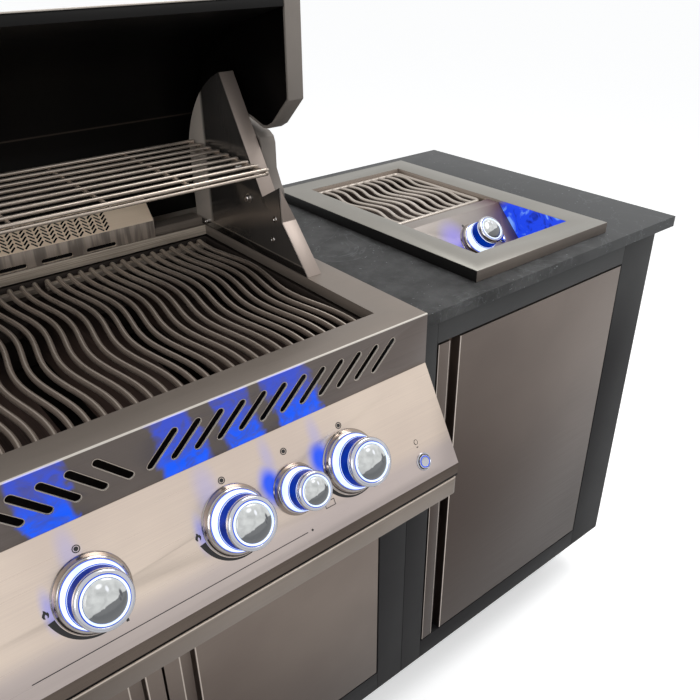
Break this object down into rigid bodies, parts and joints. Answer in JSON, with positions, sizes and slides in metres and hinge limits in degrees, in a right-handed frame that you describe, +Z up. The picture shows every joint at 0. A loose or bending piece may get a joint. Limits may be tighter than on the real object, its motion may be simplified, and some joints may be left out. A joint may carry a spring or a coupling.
{
  "type": "outdoor kitchen island",
  "caption": "Outdoor kitchen island with a built-in gas grill, roll-back hood, drop-in side burner, stone worktop and cabinets with hinged stainless doors.",
  "frame": {"origin": "middle of the island's footprint at floor level", "axes": "+X to the right along the worktop, +Y to the back, +Z up"},
  "size_m": [1.593, 0.7762, 1.3792],
  "materials": {
    "stone": "honed stone, fine flecks",
    "frame": "satin powder coat",
    "stainless": "brushed",
    "trim": "satin",
    "grid": "drawn rod, heat tinted",
    "firebox": "dark enamel",
    "chrome": "polished",
    "knob": "translucent blue band with a bright rim",
    "cast": "painted casting",
    "lining": "black enamel",
    "brass": "bare",
    "plinth": "satin powder coat"
  },
  "bodies": {
    "island": {"grill_cabinet_left_side": "frame", "grill_cabinet_right_side": "frame", "side_cabinet_left_side": "frame", "side_cabinet_right_side": "frame", "grill_cabinet_bottom_rail": "frame", "side_cabinet_bottom_rail": "frame", "grill_cabinet_top_rail": "frame", "side_cabinet_top_rail": "frame", "grill_cabinet_back": "frame", "grill_cabinet_floor": "frame", "side_cabinet_back": "frame", "side_cabinet_floor": "frame", "plinth": "plinth", "counter_top": "stone", "head_trim": "trim", "knob_bezel_1": "chrome", "knob_bezel_2": "chrome", "knob_bezel_3": "chrome", "knob_bezel_4": "chrome", "knob_bezel_small": "chrome", "gas_manifold": "brass", "control_panel": "stainless", "firebox": "firebox", "tube_burner_1": "grid", "tube_burner_2": "grid", "tube_burner_3": "grid", "tube_burner_4": "grid", "sear_plate_1": "grid", "sear_plate_2": "grid", "sear_plate_3": "grid", "sear_plate_4": "grid", "hood_side_left": "stainless", "hood_side_right": "stainless", "rear_ledge": "stainless", "rear_burner_housing": "stainless", "side_burner_pan": "trim", "side_burner_bezel": "chrome", "side_burner_plate": "stainless"},
    "side_door": {"side_door": "stainless"},
    "grill_door_left": {"grill_door_left": "stainless"},
    "grill_door_right": {"grill_door_right": "stainless"},
    "hood": {"lid_skin": "stainless", "lid_lining": "lining", "lid_end_left": "cast", "lid_end_right": "cast", "lid_handle": "stainless"},
    "burner_knob_1": {"burner_knob_1": "knob"},
    "burner_knob_2": {"burner_knob_2": "knob"},
    "burner_knob_3": {"burner_knob_3": "knob"},
    "burner_knob_4": {"burner_knob_4": "knob"},
    "rear_burner_knob": {"rear_burner_knob": "knob"},
    "side_burner_knob": {"side_burner_knob": "knob"},
    "light_button": {"light_button": "chrome"},
    "side_burner_button": {"side_burner_button": "chrome"},
    "drip_tray": {"drip_tray": "stainless"},
    "cooking_grid_left": {"cooking_grid_left": "grid"},
    "cooking_grid_centre": {"cooking_grid_centre": "grid"},
    "cooking_grid_right": {"cooking_grid_right": "grid"},
    "side_burner_grid": {"side_burner_grid": "grid"},
    "warming_rack": {"warming_rack": "grid"}
  },
  "joints": [
    {"name": "side_door_hinge", "type": "hinge", "parent": "island", "child": "side_door", "pos_m": [0.6645, -0.2329, 0.5], "axis": [0, 0, 1], "range_deg": [0, 100]},
    {"name": "grill_door_left_hinge", "type": "hinge", "parent": "island", "child": "grill_door_left", "pos_m": [-0.704, -0.2329, 0.41], "axis": [0, 0, -1], "range_deg": [0, 100]},
    {"name": "grill_door_right_hinge", "type": "hinge", "parent": "island", "child": "grill_door_right", "pos_m": [0.0646, -0.2329, 0.41], "axis": [0, 0, 1], "range_deg": [0, 100]},
    {"name": "hood_pivot", "type": "hinge", "parent": "island", "child": "hood", "pos_m": [-0.3197, 0.0581, 1.026], "axis": [-1, 0, 0], "range_deg": [-90, 0]},
    {"name": "burner_knob_1_turn", "type": "hinge", "parent": "island", "child": "burner_knob_1", "pos_m": [-0.5795, -0.3308, 0.7941], "axis": [0, -0.8669, 0.4985], "range_deg": [0, 240]},
    {"name": "burner_knob_2_turn", "type": "hinge", "parent": "island", "child": "burner_knob_2", "pos_m": [-0.4063, -0.3308, 0.7941], "axis": [0, -0.8669, 0.4985], "range_deg": [0, 240]},
    {"name": "burner_knob_3_turn", "type": "hinge", "parent": "island", "child": "burner_knob_3", "pos_m": [-0.2331, -0.3308, 0.7941], "axis": [0, -0.8669, 0.4985], "range_deg": [0, 240]},
    {"name": "burner_knob_4_turn", "type": "hinge", "parent": "island", "child": "burner_knob_4", "pos_m": [-0.0599, -0.3308, 0.7941], "axis": [0, -0.8669, 0.4985], "range_deg": [0, 240]},
    {"name": "rear_burner_knob_turn", "type": "hinge", "parent": "island", "child": "rear_burner_knob", "pos_m": [-0.1459, -0.3308, 0.7941], "axis": [0, -0.8669, 0.4985], "range_deg": [0, 240]},
    {"name": "side_burner_knob_turn", "type": "hinge", "parent": "island", "child": "side_burner_knob", "pos_m": [0.4626, -0.0611, 0.8869], "axis": [0, -0.7071, 0.7071], "range_deg": [0, 240]},
    {"name": "light_button_press", "type": "slide", "parent": "island", "child": "light_button", "axis": [0, 0.8669, -0.4985], "range_m": [0, 0.002], "stiffness_N_per_m": 2000, "springref_m": -0.002},
    {"name": "side_burner_button_press", "type": "slide", "parent": "island", "child": "side_burner_button", "axis": [0, 0.7071, -0.7071], "range_m": [0, 0.002], "stiffness_N_per_m": 2000, "springref_m": -0.002},
    {"name": "drip_tray_slide", "type": "slide", "parent": "island", "child": "drip_tray", "axis": [0, -1, 0], "range_m": [0, 0.4]},
    {"name": "cooking_grid_left_lift", "type": "slide", "parent": "island", "child": "cooking_grid_left", "axis": [0, 0, 1], "range_m": [0, 0.12]},
    {"name": "cooking_grid_centre_lift", "type": "slide", "parent": "island", "child": "cooking_grid_centre", "axis": [0, 0, 1], "range_m": [0, 0.12]},
    {"name": "cooking_grid_right_lift", "type": "slide", "parent": "island", "child": "cooking_grid_right", "axis": [0, 0, 1], "range_m": [0, 0.12]},
    {"name": "side_burner_grid_lift", "type": "slide", "parent": "island", "child": "side_burner_grid", "axis": [0, 0, 1], "range_m": [0, 0.15]},
    {"name": "warming_rack_lift", "type": "slide", "parent": "island", "child": "warming_rack", "axis": [0, 0, 1], "range_m": [0, 0.1]}
  ]
}
